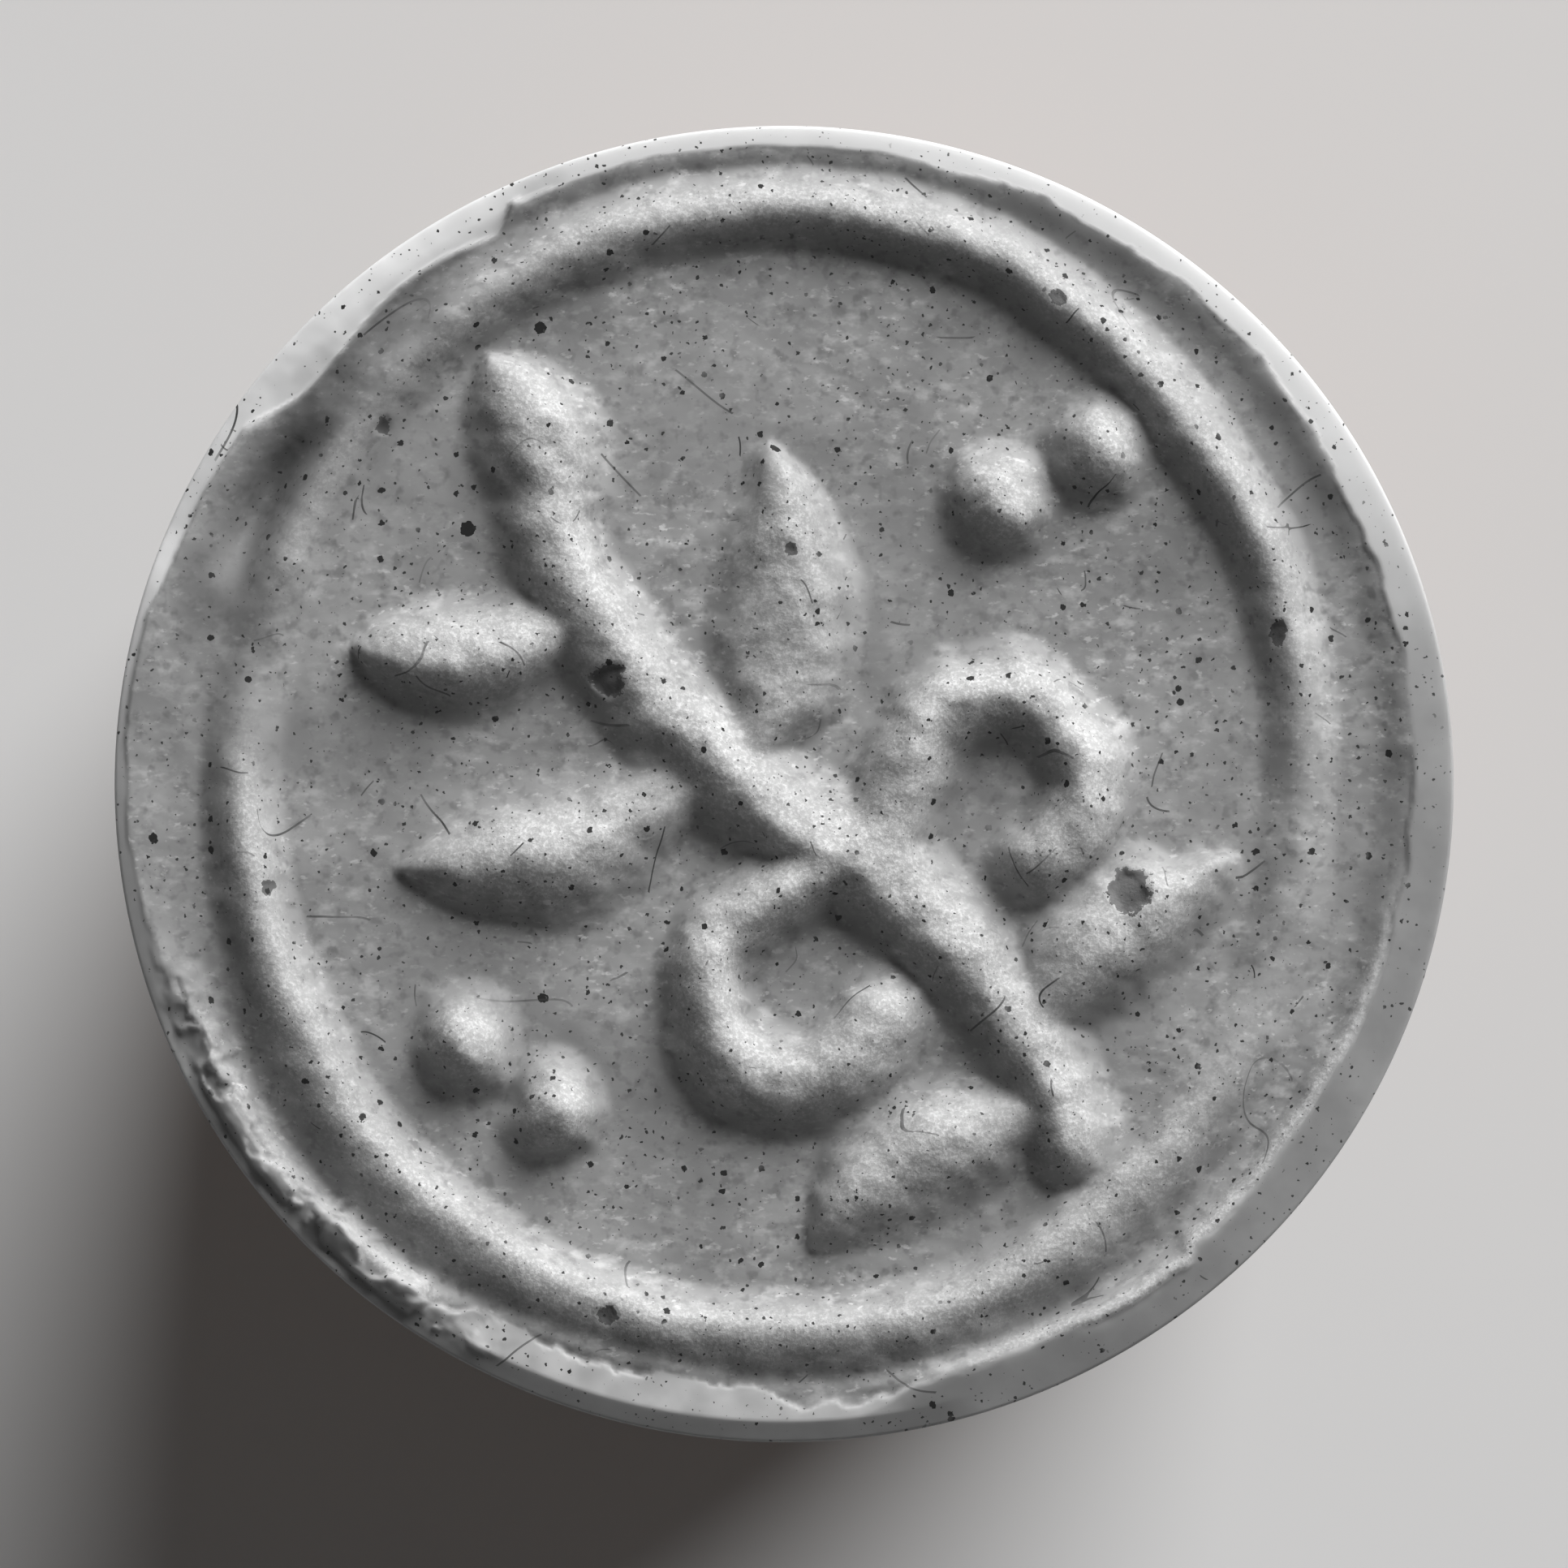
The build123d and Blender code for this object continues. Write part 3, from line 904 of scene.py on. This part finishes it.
def leather_material():
    """Dark leather with a fine grain."""
    material, tree, shader, place = new_material("leather")
    dye = noise(tree, place, size=0.9, detail=4.0, roughness=0.65)
    tones = ((0.3, (0.1, 0.055, 0.03)), (0.7, (0.2, 0.12, 0.07)))
    tree.links.new(ramp(tree, dye, *tones), shader.inputs["Base Color"])
    grain = noise(tree, place, size=0.2, roughness=0.6)
    tree.links.new(spread(tree, grain, 0.55, 0.8), shader.inputs["Roughness"])
    tree.links.new(bump(tree, grain, depth=0.03, strength=0.7), shader.inputs["Normal"])
    return material


def bedding_material():
    """Grey set paste, matt."""
    material, tree, shader, place = new_material("bedding")
    lumps = noise(tree, place, size=0.6, detail=4.0, roughness=0.6)
    tones = ((0.3, (0.34, 0.33, 0.3)), (0.7, (0.46, 0.45, 0.41)))
    tree.links.new(ramp(tree, lumps, *tones), shader.inputs["Base Color"])
    tree.links.new(spread(tree, lumps, 0.7, 0.9), shader.inputs["Roughness"])
    return material


def wood_material():
    """Oiled hardwood with its grain and its pores along the handle."""
    material, tree, shader, place = new_material("wood")
    figure = noise(tree, place, size=1.6, detail=4.0, roughness=0.6, stretch=(1.0, 1.0, 0.06))
    tones = ((0.3, (0.1, 0.043, 0.019)), (0.5, (0.19, 0.088, 0.04)), (0.72, (0.28, 0.145, 0.07)))
    base = ramp(tree, figure, *tones)
    pores = noise(tree, place, size=0.22, detail=2.0, roughness=0.5, stretch=(1.0, 1.0, 0.04))
    in_pore = ramp(tree, pores, (0.3, grey(1.0)), (0.36, grey(0.0)))
    tree.links.new(mix(tree, in_pore, base, (0.05, 0.022, 0.01)), shader.inputs["Base Color"])
    tree.links.new(spread(tree, figure, 0.32, 0.48), shader.inputs["Roughness"])
    tree.links.new(bump(tree, pores, depth=0.02, strength=0.4), shader.inputs["Normal"])
    shader.inputs["Specular IOR Level"].default_value = 0.3
    return material


def floor_material():
    """Plain pale floor, matt."""
    material, tree, shader, place = new_material("floor")
    clouds = noise(tree, place, size=20)
    tree.links.new(ramp(tree, clouds, (0.3, grey(0.74)), (0.7, grey(0.77))), shader.inputs["Base Color"])
    shader.inputs["Roughness"].default_value = 0.9
    return material


materials = {
    "cast": cast_material(),
    "bedding": bedding_material(),
    "brass": brass_material(),
    "steel": steel_material(),
    "leather": leather_material(),
    "wood": wood_material(),
}


def add_object(name, data):
    """A new object in the scene."""
    item = bpy.data.objects.new(name, data)
    bpy.context.scene.collection.objects.link(item)
    return item


def add_piece(name, vertices, faces, body, node, slot_name):
    """A mesh piece that stands for a CAD node and moves with its body."""
    mesh = bpy.data.meshes.new(name)
    mesh.from_pydata([tuple(vertex) for vertex in vertices], [], faces)
    mesh.validate()
    mesh.shade_smooth()
    mesh.materials.append(materials[slot_name])
    piece = add_object(name, mesh)
    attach(piece, body)
    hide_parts(node)
    return piece


# The cast's relief replaces the CAD cast
cast_vertices, cast_faces, cast_shares = cast_mesh()
cast = add_piece("cast_relief", cast_vertices, cast_faces, "head_body", "cast_face", "cast")
for share_name, share in cast_shares.items():
    cast.data.attributes.new(share_name, "FLOAT", "POINT").data.foreach_set("value", share)

# The stud is shown with its thread
stud_vertices, stud_faces = thread_mesh()
add_piece("threaded_stud", stud_vertices, stud_faces, "head_body", "head_stud", "steel")

# The other CAD nodes are shown as they are, in the material of their slot
for subpart in frame["record"]["subparts"]:
    shown = frame["nodes"][subpart["node"]].data
    shown.materials.clear()
    shown.materials.append(materials[subpart["material_slot"]])

# The stage, in metres: floor
floor_half = 1.5
floor_corners = (
    (-floor_half, -floor_half, 0),
    (floor_half, -floor_half, 0),
    (floor_half, floor_half, 0),
    (-floor_half, floor_half, 0),
)
floor_mesh = bpy.data.meshes.new("floor")
floor_mesh.from_pydata(floor_corners, [], [(0, 1, 2, 3)])
floor_mesh.materials.append(floor_material())
floor = add_object("floor", floor_mesh)

# Key lamp: soft, low, from the upper right of the face
face_centre = (cast_low + cast_high) / 2
face_centre.z = cast_high.z
key_azimuth = radians(60)
key_height = radians(24)
key_distance = 1.2
key_size = 0.95
key_power = 27.5
key_data = bpy.data.lights.new("key", "AREA")
key_data.shape = "DISK"
key_data.size = key_size
key_data.energy = key_power
key = add_object("key", key_data)
key_place = face_centre.copy()
key_place.x += key_distance * cos(key_height) * cos(key_azimuth)
key_place.y += key_distance * cos(key_height) * sin(key_azimuth)
key_place.z += key_distance * sin(key_height)
key.location = key_place
key.rotation_mode = "QUATERNION"
key.rotation_quaternion = (face_centre - key_place).to_track_quat("-Z", "Y")

# World: an even faint fill, and a pale backdrop that camera, glossy and transmission rays see
fill_strength = 0.05
backdrop_tone = 0.8
world = bpy.data.worlds.new("studio")
bpy.context.scene.world = world
world.use_nodes = True
world_tree = world.node_tree
fill = world_tree.nodes["Background"]
fill.inputs["Color"].default_value = (*grey(1), 1)
fill.inputs["Strength"].default_value = fill_strength
backdrop = world_tree.nodes.new("ShaderNodeBackground")
backdrop.inputs["Color"].default_value = (*grey(backdrop_tone), 1)
backdrop.inputs["Strength"].default_value = 1.0
paths = world_tree.nodes.new("ShaderNodeLightPath").outputs
seen = calculate(world_tree, "MAXIMUM", paths["Is Camera Ray"], paths["Is Glossy Ray"])
seen = calculate(world_tree, "MAXIMUM", seen, paths["Is Transmission Ray"])
choice = world_tree.nodes.new("ShaderNodeMixShader")
world_tree.links.new(seen, choice.inputs["Fac"])
world_tree.links.new(fill.outputs["Background"], choice.inputs[1])
world_tree.links.new(backdrop.outputs["Background"], choice.inputs[2])
world_tree.links.new(choice.outputs["Shader"], world_tree.nodes["World Output"].inputs["Surface"])

# Camera: straight down on the face
camera_distance = 0.15
view_width = 0.014
camera_data = bpy.data.cameras.new("camera")
camera_data.sensor_width = 36
camera_data.lens = camera_data.sensor_width * camera_distance / view_width
camera_data.clip_start = 0.01
camera_data.clip_end = 10
camera = add_object("camera", camera_data)
camera.location = face_centre
camera.location.z += camera_distance
bpy.context.scene.camera = camera

bpy.context.scene.view_settings.view_transform = "Standard"
